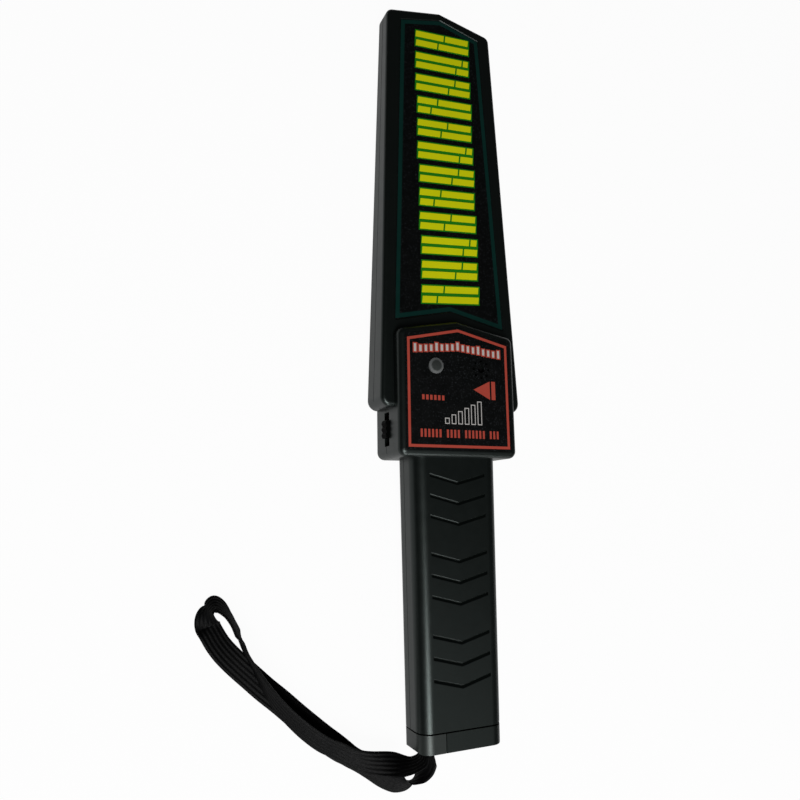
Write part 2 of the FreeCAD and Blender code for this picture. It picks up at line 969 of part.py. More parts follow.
def led_lens():
    """A clear stepped window with a low dome, hollow for the light."""
    inner_wall = block_front - wall
    bottom = inner_wall - lens_flange_thick
    rim = block_front + lens_rim
    top = block_front + lens_proud
    flange = lens_radius + lens_flange
    corners = [
        V(lens_bore, 0, bottom),
        V(flange, 0, bottom),
        V(flange, 0, inner_wall),
        V(lens_radius, 0, inner_wall),
        V(lens_radius, 0, rim),
    ]
    edges = [Part.LineSegment(a, b).toShape() for a, b in zip(corners, corners[1:])]
    dome_radius = (lens_radius**2 + (top - rim) ** 2) / (2 * (top - rim))
    half = math.asin(lens_radius / dome_radius) / 2
    centre = top - dome_radius
    middle = V(dome_radius * math.sin(half), 0, centre + dome_radius * math.cos(half))
    crown = V(0, 0, top)
    edges.append(Part.Arc(corners[-1], middle, crown).toShape())
    inner = [crown, V(0, 0, top - lens_top), V(lens_bore, 0, top - lens_top), corners[0]]
    edges += [Part.LineSegment(a, b).toShape() for a, b in zip(inner, inner[1:])]
    lens = Part.Face(Part.Wire(edges)).revolve(V(0, 0, 0), V(0, 0, 1), 360)
    lens.translate(V(-light_x, light_y, 0))
    return lens


def indicator_led():
    seat = board_front + led_stand
    top = block_front + lens_proud - lens_top - led_head_gap
    body = rod(-light_x, light_y, seat, top - led_radius, led_radius)
    head = Part.makeSphere(led_radius, V(-light_x, light_y, top - led_radius))
    flange = rod(-light_x, light_y, seat, seat + led_flange_thick, led_flange)
    legs = []
    for side in (-led_leg_spread, led_leg_spread):
        legs.append(rod(side - light_x, light_y, board_front, seat, led_leg))
    return joined([body, head, flange] + legs)


def buzzer():
    top = board_front + buzzer_height
    body = rod(light_x, light_y, board_front, top, buzzer_radius)
    return body.cut(rod(light_x, light_y, top - buzzer_hole_depth, top + overrun, buzzer_hole))


# Circuit board and what it carries

def circuit_board():
    corners = [
        V(-board_half, board_start, 0),
        V(board_half, board_start, 0),
        V(board_half, board_end, 0),
        V(-board_half, board_end, 0),
    ]
    board = prism(corners, [board_corner] * 4, board_back, board_front)
    low = board_back - overrun
    return board.cut([rod(x, y, low, board_front + overrun, board_hole) for x, y in post_places])


def chip(x, y):
    seat = board_front + chip_foot
    body = block_at(x, y, chip_length, chip_width, seat, seat + chip_height)
    under = block_at(x, y, chip_length, chip_width, board_front, seat)
    reach = chip_width + 2 * chip_leg_spread
    legs = []
    for i in range(chip_legs):
        leg_x = x + (i - (chip_legs - 1) / 2) * chip_leg_pitch
        leg = block_at(leg_x, y, chip_leg, reach, board_front, seat + chip_height / 2)
        legs.append(leg.cut(under))
    return joined([body] + legs)


def on_board(across_share, up_share):
    """A place on the board, by shares of its half width and its length."""
    return board_half * across_share, board_start + (board_end - board_start) * up_share


def microchips():
    return Part.makeCompound([chip(*on_board(*place)) for place in chip_places_shares])


def capacitors():
    cans = []
    top = board_front + capacitor_height
    for place in capacitor_places_shares:
        x, y = on_board(*place)
        can = rod(x, y, board_front, top, capacitor_radius)
        rim = edges_where(can, lambda point: abs(point.z - top) < tolerance)
        cans.append(can.makeFillet(capacitor_round, rim))
    return Part.makeCompound(cans)


def resistor_rows():
    chips = []
    top = board_front + resistor_height
    for row_share in resistor_row_shares:
        first, y = on_board(resistor_first_share, row_share)
        for i in range(resistors):
            x = first + i * resistor_pitch
            chips.append(box(x, x + resistor_width, y, y + resistor_length, board_front, top))
    return Part.makeCompound(chips)


def lead_headers():
    places = (
        (battery_header_x, lower_header_y),
        (motor_header_x, lower_header_y),
        (coil_header_x, coil_header_y),
    )
    top = board_front + header_height
    headers = [block_at(x, y, header_width, header_depth, board_front, top) for x, y in places]
    return Part.makeCompound(headers)


def trimmer():
    half = trimmer_width / 2
    low = board_back - trimmer_height
    corners = [
        V(trimmer_x - half, trimmer_y - half, 0),
        V(trimmer_x + half, trimmer_y - half, 0),
        V(trimmer_x + half, trimmer_y + half, 0),
        V(trimmer_x - half, trimmer_y + half, 0),
    ]
    body = prism(corners, [trimmer_corner] * 4, low, board_back)
    socket_end = low + rotor_depth + shaft_gap
    return body.cut(rod(trimmer_x, trimmer_y, low - overrun, socket_end, rotor_radius + shaft_gap))


def trimmer_rotor():
    low = board_back - trimmer_height
    end = low - rotor_proud
    rotor = rod(trimmer_x, trimmer_y, end, low + rotor_depth, rotor_radius)
    across = 2 * rotor_radius
    slot = block_at(trimmer_x, trimmer_y, across, rotor_slot, end - overrun, end + rotor_slot_depth)
    return rotor.cut(slot)


def board_screws():
    screws = []
    for x, y in post_places:
        shaft = rod(x, y, board_back, board_front + board_screw_length, board_screw_radius)
        head = rod(x, y, board_back - board_screw_head_thick, board_back, board_screw_head)
        screws.append(joined([shaft, head]))
    return Part.makeCompound(screws)


# Side controls

def knob_flange_side():
    """The x of the knob's flange where it faces the shell's inner side."""
    return -block_inside + wall_gap


def slide_switch():
    left = knob_flange_side() + knob_flange_thick + gap
    low = board_back - switch_body_height
    start = switch_y - switch_body_length / 2
    body = box(left, left + switch_body_depth, start, start + switch_body_length, low, board_back)
    slot_length = peg_width + 2 * (knob_travel + sliding_gap)
    slot_height = peg_width + 2 * sliding_gap
    slot_end = left + peg_depth + sliding_gap
    return body.cut(side_block(left - overrun, slot_end, switch_y, switch_z, slot_length, slot_height))


def switch_knob():
    """The ribbed slider, with a flange behind its slot and a peg into the switch."""
    inside = knob_flange_side()
    foot = knob_ridge - block_side - knob_proud
    grip = side_block(foot, inside, switch_y, switch_z, knob_length, knob_height)
    flange_length = knob_length + 2 * knob_flange_reach
    flange_height = knob_height + 2 * knob_flange_overlap
    flange_end = inside + knob_flange_thick
    flange = side_block(inside, flange_end, switch_y, switch_z, flange_length, flange_height)
    peg = side_block(inside, flange_end + gap + peg_depth, switch_y, switch_z, peg_width, peg_width)
    ridges = []
    pitch = knob_length / knob_ridges
    low = switch_z - knob_height / 2
    for i in range(knob_ridges):
        start = switch_y - knob_length / 2 + i * pitch
        crest = V(foot - knob_ridge, start + pitch / 2, low)
        points = [V(foot, start, low), V(foot, start + pitch, low), crest]
        face = Part.Face(Part.makePolygon(points + points[:1]))
        ridges.append(face.extrude(V(0, 0, knob_height)))
    return joined([grip, flange, peg] + ridges)


def button_inner():
    """The x of the button's flange where it faces into the block."""
    return block_inside - wall_gap - button_flange_thick


def sensitivity_button():
    outer = block_side + button_proud
    inner = button_inner()
    cap = cross_rod(inner, outer, button_y, switch_z, button_radius)
    cap = cap.makeFillet(button_round, edges_where(cap, lambda point: abs(point.x - outer) < tolerance))
    flange_radius = button_radius + button_flange
    flange = cross_rod(inner, inner + button_flange_thick, button_y, switch_z, flange_radius)
    stem = cross_rod(inner - tact_gap - stem_reach, inner, button_y, switch_z, stem_radius)
    return joined([cap, flange, stem])


def button_switch():
    right = button_inner() - tact_gap
    start = button_y - tact_width / 2
    body = box(right - tact_length, right, start, start + tact_width, board_back - tact_height, board_back)
    bore_end = right - stem_reach - button_travel - sliding_gap
    return body.cut(cross_rod(bore_end, right + overrun, button_y, switch_z, stem_radius + sliding_gap))


def charging_jack():
    right = block_inside - gap
    start = jack_y - jack_body_width / 2
    low = board_back - jack_body_height
    body = box(right - jack_body_length, right, start, start + jack_body_width, low, board_back)
    mouth = block_side + barrel_proud
    barrel = cross_rod(right, mouth, jack_y, switch_z, jack_barrel)
    bore = cross_rod(mouth - jack_bore_depth, mouth + overrun, jack_y, switch_z, jack_bore)
    return joined([body, barrel]).cut(bore)


def jack_nut():
    nut = cross_rod(block_side, block_side + nut_thick, jack_y, switch_z, nut_radius)
    inside = block_side - overrun
    outside = block_side + overrun
    cuts = [cross_rod(inside, outside, jack_y, switch_z, jack_barrel + shaft_gap)]
    for i in range(nut_notches):
        turn = math.pi * (2 * i + 1) / nut_notches
        y = jack_y + nut_radius * math.cos(turn)
        z = switch_z + nut_radius * math.sin(turn)
        cuts.append(cross_rod(inside, outside, y, z, nut_notch))
    return nut.cut(cuts)


# Search coil

def coil_plan(inset, low, high):
    """A solid over the coil's outline, its sides moved in from the shell's inner side."""
    corners = moved_in(paddle_corners(coil_start), wall + coil_gap + inset)
    radii = [max(former_corner - inset, former_web)] * 5
    return prism(corners, radii, low, high)


def coil_former():
    high = former_back + former_height
    inside = coil_plan(former_width, former_back - overrun, high + overrun)
    ring = coil_plan(0, former_back, high).cut(inside)
    low = former_back + former_flange
    top = high - former_flange
    depth = former_width - former_web
    channel = coil_plan(-overrun, low, top).cut(coil_plan(depth, low - overrun, top + overrun))
    return ring.cut(channel)


def search_coil():
    low = former_back + former_flange
    high = former_back + former_height - former_flange - gap
    depth = former_width - former_web - gap
    return coil_plan(winding_inset, low, high).cut(coil_plan(depth, low - overrun, high + overrun))


def coil_foam():
    pads = []
    low = former_back + former_height
    for share in foam_shares:
        y = coil_start + (tip_y - coil_start) * share
        end = y + foam_length
        x = side_at(end) - wall - coil_gap - (former_width + foam_width) / 2
        high = front_at(end) - wall - foam_gap
        for left in (x, -x - foam_width):
            pads.append(box(left, left + foam_width, y, end, low, high))
    return Part.makeCompound(pads)


def coil_lead():
    start = coil_start + wall + coil_gap + winding_inset
    middle = former_back + former_height / 2
    header_face = coil_header_y + header_depth / 2
    height = board_front + header_height / 2
    run = start - header_face
    points = [
        V(coil_header_x, start, middle),
        V(coil_header_x, start - coil_lead_end_share * run, middle),
        V(coil_header_x, header_face + coil_lead_end_share * run, height),
        V(coil_header_x, header_face, height),
    ]
    return lead(points, coil_lead_radius, "coil_lead")


# Motor

def vibration_motor():
    end = motor_start + motor_length
    body = long_rod(motor_x, motor_start, end, middle, motor_radius)
    nose = long_rod(motor_x, motor_start - motor_nose_length, motor_start, middle, motor_nose)
    boss = long_rod(motor_x, end, end + motor_boss, middle, motor_nose)
    bore_end = motor_start + shaft_depth + shaft_gap
    bore = long_rod(motor_x, motor_start - overrun, bore_end, middle, shaft_radius + shaft_gap)
    return joined([body, nose, boss]).cut(bore)


def motor_weight():
    """A half disc on a hub, with the shaft that it turns with."""
    end = motor_start - motor_nose_length - weight_gap
    start = end - weight_length
    disc = long_rod(motor_x, start, end, middle, weight_radius)
    far = motor_x + 2 * weight_radius
    near = motor_x - 2 * weight_radius
    disc = disc.common(box(near, far, start, end, middle - 2 * weight_radius, middle))
    hub = long_rod(motor_x, start, end, middle, weight_hub)
    shaft = long_rod(motor_x, start, motor_start + shaft_depth, middle, shaft_radius)
    return joined([disc, hub, shaft])


def motor_lead():
    start = motor_start + motor_length + motor_boss
    run = lower_header_y - header_depth / 2 - start
    across = motor_header_x - motor_x
    rise = board_front + header_height / 2 - middle
    points = []
    for x, y, z in motor_lead_shares:
        points.append(V(motor_x + across * x, start + run * y, middle + rise * z))
    return lead(points, lead_radius, "motor_lead")


# Battery

def battery():
    left = battery_x - battery_width / 2
    right = battery_x + battery_width / 2
    end = battery_start + battery_length
    low = battery_z - battery_height / 2
    body = rounded_box(left, right, battery_start, end, low, low + battery_height, battery_round)
    male = long_rod(battery_x - terminal_spread, end, end + terminal_height, battery_z, male_terminal)
    female = long_rod(battery_x + terminal_spread, end, end + terminal_height, battery_z, female_terminal)
    return joined([body, male, female])


def snap_end():
    return battery_start + battery_length + gap + snap_thick


def battery_snap():
    start = battery_start + battery_length + gap
    half = battery_width / 2 - snap_side
    low = battery_z - snap_height / 2
    high = low + snap_height
    plate = rounded_box(battery_x - half, battery_x + half, start, snap_end(), low, high, snap_round)
    depth = battery_start + battery_length + terminal_height + gap
    sockets = []
    for x, radius in ((-terminal_spread, male_terminal), (terminal_spread, female_terminal)):
        sockets.append(long_rod(battery_x + x, start - overrun, depth, battery_z, radius + terminal_gap))
    return plate.cut(sockets)


def battery_pad():
    left = battery_x - pad_width / 2
    low = battery_z - pad_height / 2
    return box(left, left + pad_width, cap_seam + pad_gap, battery_start, low, low + pad_height)


def battery_lead(offset, side, name):
    """A lead from the battery's clip, beside the motor, to its header."""
    start = snap_end()
    face = lower_header_y - header_depth / 2
    height = board_front + header_height / 2
    first_x = battery_x + offset
    last_x = battery_header_x + side * header_width / 4
    run = face - start
    rise = height - battery_z
    points = [V(first_x, start, battery_z), V(first_x, start + run * lead_end_share, battery_z)]
    for x, y, z in battery_lead_shares:
        points.append(V(lead_way_x * x + side * lead_apart, start + run * y, battery_z + rise * z))
    points += [V(last_x, face - run * lead_end_share, height), V(last_x, face, height)]
    return lead(points, lead_radius, name)


# End cap

def cap_body():
    """The cap's outer form, its two end corners rounded in plan."""
    corners = [
        V(-handle_side_at(0), 0, 0),
        V(handle_side_at(0), 0, 0),
        V(handle_side_at(cap_length), cap_length, 0),
        V(-handle_side_at(cap_length), cap_length, 0),
    ]
    plan = prism(corners, [anchor_corner, door_corner, 0, 0], -handle_back, handle_front)
    return handle_body(0, 0, cap_length).common(plan)


def right_of(x):
    return box(x, handle_width, -overrun, block_start, -block_back, block_front)


def left_of(x):
    return box(-handle_width, x, -overrun, block_start, -block_back, block_front)


def door_rails():
    """Two hooked rails that run across the door and slide in the handle's end."""
    left = cap_split + split_gap / 2
    end = cap_length + rail_reach
    front = handle_front - wall - sliding_gap
    back = wall - handle_back + sliding_gap
    lip_start = end - rail_lip_length
    rails = [
        box(left, handle_width, cap_floor, end, front - rail_thick, front),
        box(left, handle_width, lip_start, end, front, front + rail_lip),
        box(left, handle_width, cap_floor, end, back, back + rail_thick),
        box(left, handle_width, lip_start, end, back - rail_lip, back),
    ]
    outer = handle_body(gap, 0, cap_seam + rail_reach + overrun)
    return [rail.common(outer) for rail in rails]


def battery_door():
    left = cap_split + split_gap / 2
    shell = cap_body().common(right_of(left))
    room = handle_body(wall, cap_floor, cap_length + overrun).common(right_of(left + door_side))
    ribs = []
    for share in door_rib_shares:
        z = -handle_back + (handle_front + handle_back) * share
        ribs.append(box(left, handle_side_at(0) - wall / 2, cap_floor / 2, cap_length, z, z + door_rib))
    return joined([shell.cut(room)] + ribs + door_rails())


def tongue_right():
    return cap_split - split_gap


def strap_slot():
    """The slot in the anchor's end that the strap's two strands leave through."""
    width = 2 * (strap_thick + slot_side_gap) + strand_gap
    height = strap_width + 2 * slot_end_gap
    depth = strap_start + sewn_length + slot_side_gap
    slot = block_at(strap_x, depth / 2, width, depth, middle - height / 2, middle + height / 2)
    mouth = block_at(strap_x, 0, width, overrun, middle - height / 2, middle + height / 2)
    return slot.fuse(mouth)


def strap_anchor():
    """The end cap's fixed piece, with a tongue that the two shells lock."""
    right = cap_split - split_gap / 2
    cap = cap_body().common(left_of(right))
    reach = cap_length + tongue_reach
    tongue = handle_body(wall + gap, cap_length - gap, reach).common(left_of(tongue_right()))
    hollow_start = strap_start + sewn_length + tongue_wall
    hollow = handle_body(wall + gap + tongue_wall, hollow_start, reach + overrun)
    hollow = hollow.common(left_of(tongue_right() - tongue_wall))
    lock_start = cap_length + lock_place
    lock_end = lock_start + lock_width
    front = handle_front - wall - lock_depth
    back = wall + lock_depth - handle_back
    pin = cross_rod(strap_x - pin_left, right + overrun, tab_y, middle, pin_radius + shaft_gap)
    cuts = [
        strap_slot(),
        hollow,
        pin,
        box(-handle_width, right, lock_start, lock_end, front, handle_front),
        box(-handle_width, right, lock_start, lock_end, -handle_back, back),
    ]
    return joined([cap, tongue]).cut(cuts)


# Strap

def strap_end():
    """The strap's two ends, sewn together round the pin."""
    width = 2 * strap_thick + strand_gap
    high = strap_width / 2
    end = strap_start + sewn_length
    sewn = box(strap_x - width / 2, strap_x + width / 2, strap_start, end, middle - high, middle + high)
    return sewn.cut(cross_rod(strap_x - width, strap_x + width, tab_y, middle, pin_radius + shaft_gap))


def strap_pin():
    return cross_rod(strap_x - pin_left, strap_x + pin_right, tab_y, middle, pin_radius)


def wrist_strap():
    """A flat strap that stands on its edge, along a smooth route whose two ends meet the sewn end."""
    points = [V(x, y, height - block_back) for x, y, height in strap_route]
    wire = smooth_route(points, "wrist_strap")
    start = points[0]
    half = strap_thick / 2
    high = strap_width / 2
    corners = [
        V(start.x - half, start.y, start.z - high),
        V(start.x + half, start.y, start.z - high),
        V(start.x + half, start.y, start.z + high),
        V(start.x - half, start.y, start.z + high),
    ]
    sweep = Part.BRepOffsetAPI.MakePipeShell(wire)
    sweep.setBiNormalMode(V(0, 0, 1))
    sweep.add(Part.makePolygon(corners + corners[:1]))
    sweep.build()
    sweep.makeSolid()
    strap = sweep.shape()
    ratio = strap.Volume / (strap_thick * strap_width * wire.Length)
    print("wrist_strap volume over section times length", round(ratio, 4))
    return strap


# Screws through the back

def housing_screws():
    """Six screws with a cross recess in their heads."""
    screws = []
    for x, y in screw_places:
        seat = back_under(x, y) + screw_sink
        low = seat - screw_head_thick
        head = rod(x, y, low, seat, screw_head)
        shaft = rod(x, y, seat, seat + screw_length, screw_radius)
        across = 2 * screw_radius
        cross = [
            block_at(x, y, across, cross_width, low - overrun, low + cross_depth),
            block_at(x, y, cross_width, across, low - overrun, low + cross_depth),
        ]
        screws.append(joined([head, shaft]).cut(cross))
    return Part.makeCompound(screws)


def save(name, shape):
    """Moves a piece so that the origin is under the wand's middle, on the block's back, and writes it."""
    shape = shape.copy()
    shape.translate(V(0, -length / 2, block_back))
    solids = len(shape.Solids)
    print(name, solids, "solids, volume", round(shape.Volume, 1), "valid", shape.isValid())
    if solids == 1:
        shape = shape.Solids[0]
    shape.exportStep(os.path.join("parts", name + ".step"))


pieces = {
    "front_shell": front_shell,
    "back_shell": back_shell,
    "paddle_label": paddle_label,
    "rear_label": rear_label,
    "control_label": control_label,
    "led_lens": led_lens,
    "indicator_led": indicator_led,
    "buzzer": buzzer,
    "circuit_board": circuit_board,
    "microchips": microchips,
    "capacitors": capacitors,
    "resistors": resistor_rows,
    "lead_headers": lead_headers,
    "trimmer": trimmer,
    "trimmer_rotor": trimmer_rotor,
    "board_screws": board_screws,
    "slide_switch": slide_switch,
    "switch_knob": switch_knob,
    "sensitivity_button": sensitivity_button,
    "button_switch": button_switch,
    "charging_jack": charging_jack,
    "jack_nut": jack_nut,
    "coil_former": coil_former,
    "search_coil": search_coil,
    "coil_foam": coil_foam,
    "coil_lead": coil_lead,
    "vibration_motor": vibration_motor,
    "motor_weight": motor_weight,
    "motor_lead": motor_lead,
    "battery": battery,
    "battery_snap": battery_snap,
    "battery_pad": battery_pad,
    "battery_lead_red": lambda: battery_lead(-snap_lead_spread, -1, "battery_lead_red"),
    "battery_lead_black": lambda: battery_lead(snap_lead_spread, 1, "battery_lead_black"),
    "strap_anchor": strap_anchor,
    "battery_door": battery_door,
    "strap_end": strap_end,
    "strap_pin": strap_pin,
    "wrist_strap": wrist_strap,
    "housing_screws": housing_screws,
}

os.makedirs("parts", exist_ok=True)
for name, make in pieces.items():
    save(name, make())
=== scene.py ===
import math

import bpy
import numpy as np
from mathutils import Matrix, Vector


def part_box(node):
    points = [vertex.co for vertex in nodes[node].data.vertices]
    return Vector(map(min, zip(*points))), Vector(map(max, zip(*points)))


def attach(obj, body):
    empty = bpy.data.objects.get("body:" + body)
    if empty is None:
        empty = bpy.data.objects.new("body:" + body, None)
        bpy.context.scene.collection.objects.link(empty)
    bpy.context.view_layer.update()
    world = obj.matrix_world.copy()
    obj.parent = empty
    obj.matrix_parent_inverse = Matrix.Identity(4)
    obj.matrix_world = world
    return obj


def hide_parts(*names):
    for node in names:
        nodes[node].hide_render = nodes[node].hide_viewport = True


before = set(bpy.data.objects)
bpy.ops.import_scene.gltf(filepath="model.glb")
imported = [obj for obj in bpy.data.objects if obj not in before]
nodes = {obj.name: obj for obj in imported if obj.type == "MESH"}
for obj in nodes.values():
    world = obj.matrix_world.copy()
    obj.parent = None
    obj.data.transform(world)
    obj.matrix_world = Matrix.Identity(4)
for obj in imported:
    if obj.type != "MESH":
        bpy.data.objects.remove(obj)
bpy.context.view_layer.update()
MM = 0.001


# Camera, at the photo's place: left of the handle's side and over it

camera_sensor = 36.0
camera_lens = 31.015
camera_shift = (0.0005, -0.001)
camera_near = 10 * MM
camera_place = (-0.17508, -0.08915, 0.34724)
camera_right = (0.9139, -0.0138, 0.4057)
camera_up = (-0.0534, 0.9866, 0.1539)

camera_data = bpy.data.cameras.new("camera")
camera_data.sensor_width = camera_sensor
camera_data.lens = camera_lens
camera_data.shift_x, camera_data.shift_y = camera_shift
camera_data.clip_start = camera_near
camera = bpy.data.objects.new("camera", camera_data)
bpy.context.scene.collection.objects.link(camera)
right = Vector(camera_right)
up = Vector(camera_up)
back = right.cross(up).normalized()
up = back.cross(right).normalized()
right = right.normalized()
turn = Matrix((right, up, back)).transposed().to_4x4()
camera.matrix_world = Matrix.Translation(camera_place) @ turn
bpy.context.scene.camera = camera


# Nodes of the materials

def blank(owner):
    """The owner's node tree, emptied."""
    owner.use_nodes = True
    owner.node_tree.nodes.clear()
    return owner.node_tree


def node_of(tree, kind, **inputs):
    """A node, with the values of its inputs."""
    made = tree.nodes.new(kind)
    for name, value in inputs.items():
        made.inputs[name.replace("_", " ")].default_value = value
    return made


def noise_of(tree, place, scale, detail, roughness):
    """A noise, from 0 to 1."""
    made = node_of(tree, "ShaderNodeTexNoise", Scale=scale, Detail=detail, Roughness=roughness)
    tree.links.new(place, made.inputs["Vector"])
    return made.outputs["Fac"]


def range_of(tree, value, start, end, first, last):
    """A value that goes from first to last while the given one goes from start to end."""
    made = node_of(tree, "ShaderNodeMapRange", From_Min=start, From_Max=end, To_Min=first, To_Max=last)
    tree.links.new(value, made.inputs["Value"])
    return made.outputs["Result"]


def math_of(tree, operation, *terms):
    """A math node's value. Each term is a number or another node's output."""
    made = tree.nodes.new("ShaderNodeMath")
    made.operation = operation
    for socket, term in zip(made.inputs, terms):
        if isinstance(term, float):
            socket.default_value = term
        else:
            tree.links.new(term, socket)
    return made.outputs["Value"]


def colour_of(tree, share, first, second):
    """A colour between two. Each is a colour or another node's output."""
    made = tree.nodes.new("ShaderNodeMix")
    made.data_type = "RGBA"
    tree.links.new(share, made.inputs["Factor"])
    for name, colour in (("A", first), ("B", second)):
        if isinstance(colour, tuple):
            made.inputs[name].default_value = (*colour, 1.0)
        else:
            tree.links.new(colour, made.inputs[name])
    return made.outputs["Result"]


def end_with(tree, kind, share, first, second):
    """The tree's output, of the given kind: a mix of two shaders by share."""
    mixed = tree.nodes.new("ShaderNodeMixShader")
    tree.links.new(share, mixed.inputs["Fac"])
    tree.links.new(first, mixed.inputs[1])
    tree.links.new(second, mixed.inputs[2])
    tree.links.new(mixed.outputs["Shader"], tree.nodes.new(kind).inputs["Surface"])


# Finishes

plain_specular = 0.5
patch_noise = (4.0, 0.55)        # detail and roughness of each noise
wear_noise = (3.0, 0.5)
grain_noise = (2.0, 0.6)
glint_noise = (1.0, 0.5)
wear_scale = 3.0                 # against the patches' scale
wear_span = (0.3, 0.7)           # noise levels with the least and the most roughness
# Painted glints: light specks that a finish may have in its colour
glint_scale = 1300.0
glint_span = (0.60, 0.72)        # noise levels where a speck starts and where it is full


def surface(name, low, high, rough, metal=0.0, patch=60.0, grain=1800.0, bump=0.02,
            bump_size=0.0002, specular=plain_specular, tint=(1.0, 1.0, 1.0), glint_colour=None):
    """A finish with colour patches between low and high and wear between the two of rough.

    It has a fine grain too, and, where a speck colour is given, painted glints: light specks in its colour.
    """
    made = bpy.data.materials.new(name)
    tree = blank(made)
    link = tree.links.new
    shader = tree.nodes.new("ShaderNodeBsdfPrincipled")
    shader.inputs["Metallic"].default_value = metal
    shader.inputs["Specular IOR Level"].default_value = specular
    shader.inputs["Specular Tint"].default_value = (*tint, 1.0)
    place = tree.nodes.new("ShaderNodeTexCoord").outputs["Object"]
    colour = colour_of(tree, noise_of(tree, place, patch, *patch_noise), low, high)
    # painted glints: light specks mixed into the colour
    if glint_colour:
        glint_spots = noise_of(tree, place, glint_scale, *glint_noise)
        colour = colour_of(tree, range_of(tree, glint_spots, *glint_span, 0.0, 1.0), colour, glint_colour)
    link(colour, shader.inputs["Base Color"])
    wear = noise_of(tree, place, patch * wear_scale, *wear_noise)
    link(range_of(tree, wear, *wear_span, *rough), shader.inputs["Roughness"])
    relief = node_of(tree, "ShaderNodeBump", Strength=bump, Distance=bump_size)
    link(noise_of(tree, place, grain, *grain_noise), relief.inputs["Height"])
    link(relief.outputs["Normal"], shader.inputs["Normal"])
    out = tree.nodes.new("ShaderNodeOutputMaterial")
    link(shader.outputs["BSDF"], out.inputs["Surface"])
    return made


def shader_of(tree):
    return next(node for node in tree.nodes if node.type == "BSDF_PRINCIPLED")


